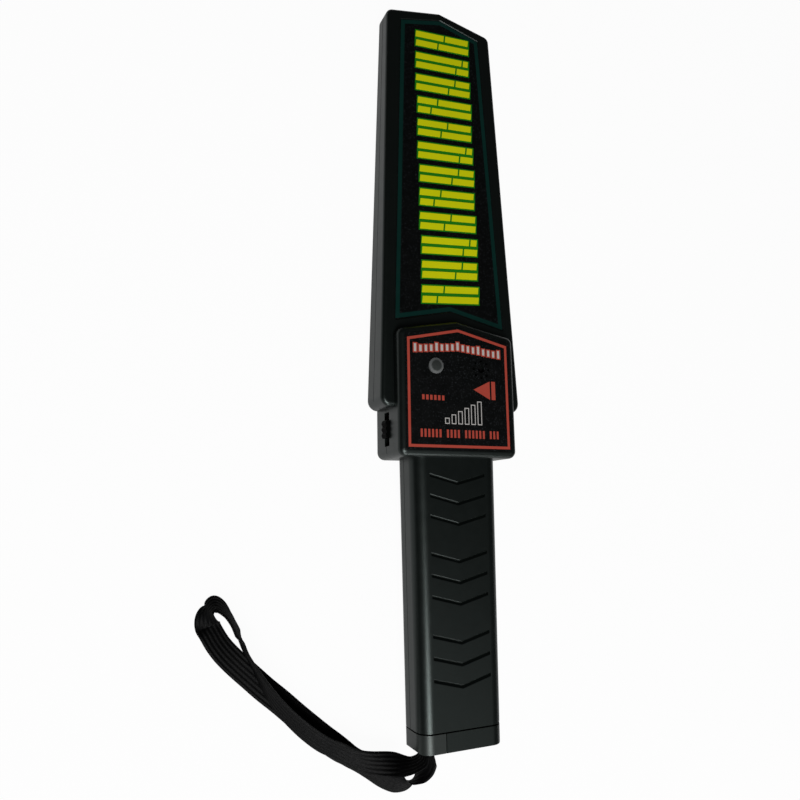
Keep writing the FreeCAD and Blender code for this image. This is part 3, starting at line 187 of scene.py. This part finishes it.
finish_values = {
    "housing_black": dict(low=(0.0022, 0.0032, 0.0029), high=(0.0034, 0.0046, 0.0042),
                          rough=(0.32, 0.36), grain=2600.0, bump=0.10, tint=(0.86, 1.0, 0.96)),
    # The anchor: the housing's black made coarser, and lighter as painted light, because the strap's shadow
    # darkens the cap's faces in their reflections
    "anchor_black_painted_light": dict(low=(0.0140, 0.0165, 0.0155), high=(0.0170, 0.0195, 0.0185),
                         rough=(0.36, 0.40), grain=2600.0, bump=0.12, tint=(0.90, 1.0, 0.96)),
    # the label's light specks are painted glints of its pebbled face
    "label_black": dict(low=(0.0010, 0.0013, 0.0013), high=(0.0019, 0.0023, 0.0024),
                        rough=(0.36, 0.46), grain=1500.0, bump=0.35, bump_size=0.00025,
                        specular=0.22, glint_colour=(0.016, 0.018, 0.020)),
    "clear_lens": dict(low=(0.095, 0.100, 0.100), high=(0.135, 0.140, 0.140),
                       rough=(0.14, 0.22), patch=400.0),
    "led_clear": dict(low=(0.30, 0.31, 0.30), high=(0.38, 0.39, 0.38), rough=(0.12, 0.2)),
    "component_black": dict(low=(0.003, 0.003, 0.003), high=(0.006, 0.006, 0.006),
                            rough=(0.45, 0.6), bump=0.1, specular=0.1),
    "board_green": dict(low=(0.012, 0.085, 0.035), high=(0.018, 0.11, 0.045),
                        rough=(0.3, 0.42), bump=0.05),
    "can_aluminium": dict(low=(0.62, 0.63, 0.65), high=(0.72, 0.73, 0.75),
                          rough=(0.25, 0.38), metal=1.0),
    "resistor_dark": dict(low=(0.02, 0.022, 0.026), high=(0.035, 0.037, 0.042), rough=(0.4, 0.5)),
    "nylon_white": dict(low=(0.70, 0.69, 0.65), high=(0.78, 0.77, 0.73), rough=(0.4, 0.5), bump=0.05),
    "trimmer_blue": dict(low=(0.02, 0.09, 0.36), high=(0.03, 0.12, 0.42), rough=(0.3, 0.42)),
    "brass": dict(low=(0.62, 0.44, 0.16), high=(0.72, 0.52, 0.22), rough=(0.25, 0.38), metal=1.0),
    "steel": dict(low=(0.42, 0.42, 0.43), high=(0.54, 0.54, 0.55),
                  rough=(0.28, 0.42), metal=1.0, bump=0.06),
    "control_black": dict(low=(0.0010, 0.0012, 0.0012), high=(0.0018, 0.0020, 0.0020),
                          rough=(0.50, 0.60), grain=2200.0, bump=0.08, specular=0.015),
    "nickel": dict(low=(0.55, 0.54, 0.51), high=(0.66, 0.65, 0.62), rough=(0.2, 0.32), metal=1.0),
    "former_grey": dict(low=(0.20, 0.21, 0.22), high=(0.26, 0.27, 0.28), rough=(0.45, 0.56), bump=0.06),
    "coil_copper": dict(low=(0.55, 0.22, 0.09), high=(0.68, 0.29, 0.13),
                        rough=(0.26, 0.4), metal=1.0, bump=0.15),
    "foam_grey": dict(low=(0.10, 0.10, 0.105), high=(0.15, 0.15, 0.155),
                      rough=(0.85, 0.95), grain=900.0, bump=0.6, bump_size=0.0004, specular=0.2),
    "lead_grey": dict(low=(0.16, 0.165, 0.17), high=(0.21, 0.215, 0.22), rough=(0.4, 0.52)),
    "motor_steel": dict(low=(0.50, 0.50, 0.51), high=(0.60, 0.60, 0.61), rough=(0.24, 0.36), metal=1.0),
    "battery_case": dict(low=(0.05, 0.055, 0.06), high=(0.08, 0.085, 0.09), rough=(0.3, 0.42), metal=0.3),
    "lead_red": dict(low=(0.42, 0.02, 0.018), high=(0.52, 0.03, 0.025), rough=(0.38, 0.5)),
    "lead_black": dict(low=(0.012, 0.012, 0.013), high=(0.02, 0.02, 0.022), rough=(0.38, 0.5)),
    "strap_black": dict(low=(0.0004, 0.0004, 0.0006), high=(0.0010, 0.0011, 0.0012),
                        rough=(0.5, 0.62), patch=300.0, grain=2400.0, bump=0.5, bump_size=0.0003,
                        specular=0.085),
    "ink_teal": dict(low=(0.0016, 0.019, 0.015), high=(0.003, 0.028, 0.023),
                     rough=(0.3, 0.42), bump=0.05, specular=0.25),
    "ink_yellow": dict(low=(0.66, 0.68, 0.002), high=(0.76, 0.76, 0.004),
                       rough=(0.4, 0.5), bump=0.08, specular=0.15),
    "ink_green": dict(low=(0.010, 0.17, 0.005), high=(0.020, 0.24, 0.010),
                      rough=(0.4, 0.5), bump=0.08, specular=0.15),
    "ink_red": dict(low=(0.37, 0.052, 0.034), high=(0.45, 0.066, 0.043),
                    rough=(0.4, 0.5), bump=0.08, specular=0.3),
    "ink_white": dict(low=(0.44, 0.43, 0.41), high=(0.54, 0.52, 0.50), rough=(0.4, 0.5), bump=0.08),
}
finishes = {name: surface(name, **values) for name, values in finish_values.items()}


# The clear window: smoky plastic with a light rim round a middle darkened with painted shade

lens_shade_colour = (0.034, 0.038, 0.036)
lens_shade_reach = 2.6 * MM     # where the painted shade of the middle ends
lens_rim_start = 3.3 * MM        # where the rim is at its lightest

lens_low, lens_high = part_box("led_lens")
lens_centre = ((lens_low.x + lens_high.x) / 2, (lens_low.y + lens_high.y) / 2, lens_high.z)
tree = finishes["clear_lens"].node_tree
lens_base = shader_of(tree).inputs["Base Color"]
lens_colour = lens_base.links[0].from_socket
lens_away = tree.nodes.new("ShaderNodeVectorMath")
lens_away.operation = "DISTANCE"
lens_away.inputs[1].default_value = lens_centre
tree.links.new(tree.nodes.new("ShaderNodeTexCoord").outputs["Object"], lens_away.inputs[0])
lens_share = range_of(tree, lens_away.outputs["Value"], lens_shade_reach, lens_rim_start, 0.0, 1.0)
# painted shade: towards the middle the colour mixes to the darker one
tree.links.new(colour_of(tree, lens_share, lens_shade_colour, lens_colour), lens_base)


# Less shine down in the handle's chevron grooves, where the mould's grain is coarse

groove_specular = 0.12
groove_span = (("X", 0.0, 16.3 * MM),     # axis, middle and reach to each side
               ("Y", -122.0 * MM, 59.0 * MM),
               ("Z", 27.7 * MM, 0.4 * MM))

tree = finishes["housing_black"].node_tree
groove_place = tree.nodes.new("ShaderNodeSeparateXYZ")
tree.links.new(tree.nodes.new("ShaderNodeTexCoord").outputs["Object"], groove_place.inputs["Vector"])
in_x, in_y, in_z = (math_of(tree, "COMPARE", groove_place.outputs[axis], middle, reach)
                    for axis, middle, reach in groove_span)
groove_share = math_of(tree, "MULTIPLY", math_of(tree, "MULTIPLY", in_x, in_y), in_z)
tree.links.new(range_of(tree, groove_share, 0.0, 1.0, plain_specular, groove_specular),
               shader_of(tree).inputs["Specular IOR Level"])


# Each solid takes the finish that its material names, and the anchor its own: the housing's black, coarser
# and with its colour lightened as painted light on the cap's faces

for node in nodes.values():
    for number, cad_material in enumerate(node.data.materials):
        finish_name = cad_material.name.split(".")[0]
        node.data.materials[number] = finishes[finish_name]
nodes["strap_anchor"].data.materials[0] = finishes["anchor_black_painted_light"]


def piece_from(name, points, faces, material, body, smooth=False):
    """A piece of the scene that rides with a body."""
    mesh = bpy.data.meshes.new(name)
    mesh.from_pydata([tuple(p) for p in points], [], faces)
    mesh.materials.append(material)
    mesh.polygons.foreach_set("use_smooth", [smooth] * len(mesh.polygons))
    mesh.update()
    made = bpy.data.objects.new(name, mesh)
    bpy.context.scene.collection.objects.link(made)
    if body:
        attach(made, body)
    return made


# The wrist strap: one ribbed webbing loop. Its points are x, y and height in mm and the web's
# lean in degrees, 0 flat and -90 on its edge. They run from the slot along the upper strand,
# round the far end and back along the flat one.

strap_width = 11.8
strap_thick = 1.25
strap_rib = 0.16                 # how far a rib rises
strap_ribs = 6
strap_across = 36                # steps across each face
strap_edge_power = 8             # how square the edges are
strap_steps = 8                  # steps of the line to each point
strap_points = (
    (-16.4, -202.0, 16.25, -90), (-16.4, -208.0, 16.00, -90), (-17.4, -211.2, 15.00, -84),
    (-21.9, -213.3, 13.20, -72), (-25.9, -213.3, 11.60, -49), (-30.8, -212.5, 10.20, -23),
    (-36.4, -211.7, 9.20, -3), (-42.1, -210.6, 8.60, 12), (-47.8, -208.7, 8.20, 26),
    (-53.5, -206.0, 8.00, 35), (-59.0, -202.5, 7.80, 40), (-64.8, -200.1, 6.18, 43),
    (-73.2, -193.7, 6.50, 48), (-80.5, -187.0, 6.85, 54), (-87.2, -179.9, 7.20, 61),
    (-92.7, -172.4, 7.50, 71), (-96.9, -165.6, 7.64, 81), (-100.9, -159.0, 7.61, 89),
    (-104.5, -153.2, 7.61, 91), (-106.5, -148.0, 7.61, 91), (-108.3, -144.1, 7.50, 109),
    (-110.6, -139.3, 7.56, 106), (-113.1, -135.2, 6.90, 109), (-116.1, -131.7, 6.05, 120),
    (-119.2, -129.8, 5.38, 126), (-121.9, -132.4, 6.07, 105), (-122.3, -136.6, 4.44, 141),
    (-121.4, -140.7, 1.29, 175), (-120.7, -142.2, 2.22, 194), (-115.6, -150.9, 1.92, 191),
    (-107.5, -159.3, 0.98, 182), (-100.1, -166.1, 0.81, 180), (-93.5, -172.3, 0.84, 180),
    (-85.9, -178.6, 0.91, 179), (-78.4, -185.5, 1.08, 177), (-70.3, -192.5, 1.07, 183),
    (-62.6, -198.9, 1.73, 189), (-51.3, -207.6, 3.36, 154), (-44.3, -211.7, 3.53, 152),
    (-38.1, -216.3, 3.71, 150), (-32.3, -220.6, 3.80, 152), (-26.7, -223.5, 5.00, 151),
    (-22.2, -224.1, 6.20, 140), (-19.1, -222.3, 7.80, 123), (-17.5, -220.0, 9.40, 98),
    (-15.8, -217.7, 11.20, 72), (-14.5, -214.8, 13.00, 57), (-13.9, -210.7, 15.00, 62),
    (-14.1, -208.0, 16.25, 90), (-14.4, -202.0, 16.25, 90),
)


def strap_line():
    """The strap's middle line, as close points, from one open spline through its places."""
    line = bpy.data.curves.new("strap_line", "CURVE")
    line.dimensions = "3D"
    line.resolution_u = strap_steps
    spline = line.splines.new("NURBS")
    spline.points.add(len(strap_points) - 1)
    for point, (x, y, height, _) in zip(spline.points, strap_points):
        point.co = (x * MM, y * MM, height * MM, 1.0)
    spline.order_u = 3
    spline.use_endpoint_u = True
    holder = bpy.data.objects.new("strap_line", line)
    bpy.context.scene.collection.objects.link(holder)
    bpy.context.view_layer.update()
    mesh = bpy.data.meshes.new_from_object(holder)
    found = np.array([v.co for v in mesh.vertices], float)
    bpy.data.objects.remove(holder)
    bpy.data.meshes.remove(mesh)
    return found


def strap_lean(count):
    """The web's lean at each of count points of the line."""
    last = len(strap_points) - 2.0
    middles = [number - 0.5 for number in range(1, len(strap_points) - 1)]
    leans = [point[3] for point in strap_points]
    return np.radians(np.interp(np.linspace(0.0, last, count), [0.0, *middles, last], leans))


def strap_section():
    """The web's outline across: ribs on both faces, round edges."""
    half = strap_width / 2
    xs = half * np.cos(np.linspace(math.pi, 0.0, strap_across + 1))
    edge = np.sqrt(np.clip(1.0 - (np.abs(xs) / half) ** strap_edge_power, 0.0, 1.0))
    rib = strap_rib * np.cos(math.pi * 2 * strap_ribs * (xs / strap_width + 0.5) + math.pi)
    top = (strap_thick / 2 + rib) * edge
    upper = list(zip(xs, top))
    lower = list(zip(xs[::-1], -top[::-1]))
    return np.array(upper + lower[1:-1])


def make_strap():
    path = strap_line()
    count = len(path)
    lean = strap_lean(count)[:, None]
    tangent = np.gradient(path, axis=0)
    tangent /= np.linalg.norm(tangent, axis=1)[:, None]
    side = np.cross(tangent, (0.0, 0.0, 1.0))
    side /= np.linalg.norm(side, axis=1)[:, None]
    above = np.cross(side, tangent)
    across = np.cos(lean) * side + np.sin(lean) * above
    face = -np.sin(lean) * side + np.cos(lean) * above
    section = strap_section() * MM
    ring_count = len(section)
    points = (path[:, None, :] + section[None, :, 0, None] * across[:, None, :]
              + section[None, :, 1, None] * face[:, None, :]).reshape(-1, 3)
    faces = []
    for i in range(count - 1):
        near, far = i * ring_count, (i + 1) * ring_count
        for j in range(ring_count):
            k = (j + 1) % ring_count
            faces.append((near + j, near + k, far + k, far + j))
    faces.append(tuple(range(ring_count - 1, -1, -1)))
    faces.append(tuple((count - 1) * ring_count + j for j in range(ring_count)))
    strap = piece_from("strap_web", points, faces, finishes["strap_black"], "wand", smooth=True)
    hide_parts("wrist_strap")


make_strap()


# Printed marks, as thin raised inks on the label plates. Heights are over the plate's face.

facing_up = 0.95                 # least upward part of the face's normal
ink_foot = 0.02                  # how far an ink starts below its floor
ink_height = 0.06
under_height = 0.05              # of an ink with another one on it
over_floor = 0.03                # of an ink that lies on another one
over_height = 0.09


def top_plane(name):
    """A point and the normal of the plate's upper face."""
    mesh = nodes[name].data
    total, normal, centre = 0.0, Vector(), Vector()
    for polygon in mesh.polygons:
        if polygon.normal.z > facing_up:
            total += polygon.area
            normal += polygon.normal * polygon.area
            centre += polygon.center * polygon.area
    return centre / total, normal.normalized()


def over_plane(centre, normal, x, y, level):
    """The place of (x, y) at a level over the plane, given in mm."""
    px, py = x * MM, y * MM
    z = centre.z - (normal.x * (px - centre.x) + normal.y * (py - centre.y)) / normal.z
    return px, py, z + level * MM


def ink(name, plate, shapes, finish, height=ink_height, floor_level=0.0):
    """Closed shapes of (x, y) in mm, raised over the plate's upper face."""
    centre, normal = top_plane(plate)
    points, faces = [], []
    for shape in shapes:
        first = len(points)
        n = len(shape)
        for level in (floor_level - ink_foot, height):
            points += [over_plane(centre, normal, x, y, level) for x, y in shape]
        faces.append(tuple(first + n + i for i in range(n)))
        for i in range(n):
            j = (i + 1) % n
            faces.append((first + i, first + j, first + n + j, first + n + i))
    piece_from(name, points, faces, finishes[finish], "wand")


def inset(shape, depth):
    """A closed shape, anticlockwise, moved in by depth."""
    out = []
    n = len(shape)
    for i in range(n):
        a, b, c = (Vector(shape[(i + k) % n]) for k in (-1, 0, 1))
        u, w = (b - a).normalized(), (c - b).normalized()
        nu, nw = Vector((-u.y, u.x)), Vector((-w.y, w.x))
        bisector = (nu + nw) / (1.0 + nu.dot(nw))
        out.append(tuple(b + bisector * depth))
    return out


def ring(shape, outer, inner):
    """The band of a closed shape between two insets, as one quad to each side."""
    far, near = inset(shape, outer), inset(shape, inner)
    n = len(shape)
    return [[far[i], far[(i + 1) % n], near[(i + 1) % n], near[i]] for i in range(n)]


def bar(x0, x1, y0, y1):
    return [(x0, y0), (x1, y0), (x1, y1), (x0, y1)]


def rim(name, plate, shape, wide, height):
    """The broken edge round a sunk plate: one sloping face from the rim down to the plate."""
    centre, normal = top_plane(plate)
    points, faces = [], []
    n = len(shape)
    for corners, level in ((shape, height), (shape, -ink_foot), (inset(shape, wide), -ink_foot)):
        points += [over_plane(centre, normal, x, y, level) for x, y in corners]
    for i in range(n):
        j = (i + 1) % n
        faces.append((i, j, 2 * n + j, 2 * n + i))
        faces.append((n + i, 2 * n + i, 2 * n + j, n + j))
        faces.append((i, n + i, n + j, j))
    piece_from(name, points, faces, finishes["housing_black"], "wand")


# The paddle's label: a teal border and rising pairs of cut yellow strips, each on green

paddle_outline = [(0.0, 18.8), (33.75, 11.3), (25.95, 193.4), (0.0, 200.0), (-25.95, 193.4), (-33.75, 11.3)]
paddle_border = (0.7, 3.1)       # its two insets
recess_gap = 0.1
recess_rim_wide = 0.42
recess_rim_height = 0.34
pair_count = 12
pair_first = 22.6
pair_pitch = 14.2
strip_thick = 3.9
strip_gap = 1.9
strip_left = -17.0
strip_left_step = 0.35           # the left ends step in by this, in threes
strip_right = 18.4
strip_right_step = 0.3
strip_slope = 3.0 / 35.4
strip_lean = 0.5                 # of a strip's ends
strip_cuts = (-8.0, 4.0, 9.5, -2.0)
second_cut = 4.5                 # how far right the pair's second cut is
cut_half = 0.5
green_reach = 0.75
green_lean = 0.6


def rising(x0, x1, y0, y1, lean, reach=0.0):
    """A bar along the strips' slope. Its ends lean, and lie out by reach."""
    rise0, rise1 = (strip_slope * (x - strip_left) for x in (x0, x1))
    left, far = x0 - reach, x1 + reach
    return [(left, y0 + rise0), (far, y0 + rise1), (far + lean, y1 + rise1), (left + lean, y1 + rise0)]


rim("recess_rim", "paddle_label", inset(paddle_outline, -recess_gap), recess_rim_wide, recess_rim_height)
ink("paddle_border", "paddle_label", ring(paddle_outline, *paddle_border), "ink_teal")

strips, greens = [], []
for number in range(pair_count):
    low = pair_first + number * pair_pitch
    left = strip_left + strip_left_step * (number % 3)
    far = strip_right - strip_right_step * ((number + 1) % 3)
    cut = strip_cuts[number % len(strip_cuts)]
    for y0, middle in ((low, cut), (low + strip_thick + strip_gap, cut + second_cut)):
        for x0, x1 in ((left, middle - cut_half), (middle + cut_half, far)):
            strips.append(rising(x0, x1, y0, y0 + strip_thick, strip_lean))
    high = low + 2 * strip_thick + strip_gap
    greens.append(rising(left, far, low - green_reach, high + green_reach, green_lean, green_reach))
ink("paddle_marks_back", "paddle_label", greens, "ink_green", under_height)
ink("paddle_marks", "paddle_label", strips, "ink_yellow", over_height, over_floor)


# The control label: a red border, a row of title bars, rising level bars and a pointer

control_outline = [(-30.9, -57.3), (30.9, -57.3), (30.9, 1.2), (0.0, 8.1), (-30.9, 1.2)]
control_border = (0.85, 2.3)
title_count = 17
title_first = -26.4
title_pitch = 3.14
title_tall = 3.7
title_taller = 4.6               # every fourth
title_base = -7.0
title_rise = 2.5                 # of the middle over the ends
title_red = (-0.45, 2.25, -0.4, 0.4)     # left, right, foot and top, from each bar's place
title_white = (0.15, 1.5, 0.2, -0.2)
foot_count = 22
foot_gaps = (6, 11, 18)          # bars left out, between the groups
foot_first = -23.2
foot_pitch = 2.15
foot_wide = 1.2
foot_span = (-51.2, -47.0)
dash_count = 6
dash_first = -22.0
dash_pitch = 2.3
dash_wide = 1.4
dash_span = (-31.8, -29.2)
level_count = 6
level_first = -9.0
level_pitch = 3.9
level_wide = 2.7
level_foot = -44.0
level_least = -40.8
level_step = 1.9
level_line = 0.45
pointer = [(8.6, -25.0), (18.6, -30.0), (18.6, -20.0)]
pointer_bar = bar(19.6, 22.0, -30.0, -20.0)

ink("control_border", "control_label", ring(control_outline, *control_border), "ink_red")

reds, whites = [], []
title_middle = (title_count - 1) / 2
for number in range(title_count):
    x0 = title_first + number * title_pitch
    tall = title_tall if number % 4 else title_taller
    y0 = title_base + title_rise * (1.0 - abs(number - title_middle) / title_middle)
    for bars, (left, far, foot, top) in ((reds, title_red), (whites, title_white)):
        bars.append(bar(x0 + left, x0 + far, y0 + foot, y0 + tall + top))
ink("title_marks_back", "control_label", reds, "ink_red", under_height)
ink("title_marks", "control_label", whites, "ink_white", over_height, over_floor)

foot_places = [foot_first + i * foot_pitch for i in range(foot_count) if i not in foot_gaps]
ink("foot_marks", "control_label", [bar(x0, x0 + foot_wide, *foot_span) for x0 in foot_places], "ink_red")
dash_places = [dash_first + i * dash_pitch for i in range(dash_count)]
ink("small_marks", "control_label", [bar(x0, x0 + dash_wide, *dash_span) for x0 in dash_places], "ink_red")
levels = []
for number in range(level_count):
    x0 = level_first + number * level_pitch
    levels += ring(bar(x0, x0 + level_wide, level_foot, level_least + number * level_step), 0.0, level_line)
ink("level_marks", "control_label", levels, "ink_white")
ink("level_pointer", "control_label", [pointer, pointer_bar], "ink_red")


# Lamps: name, place, target, width, length and power

lamps = (
    ("key_over", (-0.29, -0.68, 0.92), (0.0, -0.05, 0.0), 0.40, 0.70, 10.6),
    ("front_fill", (0.42, -0.50, 0.90), (0.0, -0.15, 0.0), 0.35, 0.6, 0.28),
    ("low_end", (0.10, -0.90, 0.25), (0.0, -0.2, 0.02), 0.6, 0.3, 3.2),
)
for name, place, target, wide, long, power in lamps:
    lamp_data = bpy.data.lights.new(name, "AREA")
    lamp_data.shape = "RECTANGLE"
    lamp_data.size = wide
    lamp_data.size_y = long
    lamp_data.energy = power
    lamp = bpy.data.objects.new(name, lamp_data)
    bpy.context.scene.collection.objects.link(lamp)
    lamp.location = place
    lamp.rotation_euler = (Vector(target) - Vector(place)).to_track_quat("-Z", "Y").to_euler()


# The floor: matt paint under a glow that the camera and the reflections see

white = (1.0, 1.0, 1.0, 1.0)
floor_paint_colour = (0.66, 0.66, 0.66, 1.0)
floor_seen_share = 0.96          # of the glow, the rest is paint with the shadow
floor_mirrored_share = 0.9
floor_mirrored_power = 0.57
floor_seen_power = 1.0
floor_half = 0.75
floor_drop = 0.1 * MM

floor_material = bpy.data.materials.new("floor_white")
tree = blank(floor_material)
floor_rays = tree.nodes.new("ShaderNodeLightPath").outputs
floor_seen = math_of(tree, "MULTIPLY", floor_rays["Is Camera Ray"], floor_seen_share)
floor_mirrored = math_of(tree, "MULTIPLY", floor_rays["Is Glossy Ray"], floor_mirrored_share)
floor_paint = node_of(tree, "ShaderNodeBsdfDiffuse", Color=floor_paint_colour)
floor_glow = node_of(tree, "ShaderNodeEmission", Color=white)
floor_power = math_of(tree, "MULTIPLY_ADD", floor_rays["Is Camera Ray"],
                      floor_seen_power - floor_mirrored_power, floor_mirrored_power)
tree.links.new(floor_power, floor_glow.inputs["Strength"])
end_with(tree, "ShaderNodeOutputMaterial", math_of(tree, "MAXIMUM", floor_seen, floor_mirrored),
         floor_paint.outputs["BSDF"], floor_glow.outputs["Emission"])
floor = piece_from("floor", [(x, y, 0.0) for x, y in bar(-floor_half, floor_half, -floor_half, floor_half)],
                   [(0, 1, 2, 3)], floor_material, None)
floor.location.z = -floor_drop


# Surroundings: white to the camera, dim on the object

dim_power = 0.03

world = bpy.data.worlds.new("surroundings")
bpy.context.scene.world = world
tree = blank(world)
world_rays = tree.nodes.new("ShaderNodeLightPath").outputs
dim = node_of(tree, "ShaderNodeBackground", Color=white, Strength=dim_power)
plain = node_of(tree, "ShaderNodeBackground", Color=white, Strength=1.0)
end_with(tree, "ShaderNodeOutputWorld", world_rays["Is Camera Ray"],
         dim.outputs["Background"], plain.outputs["Background"])

bpy.context.scene.view_settings.view_transform = "Standard"
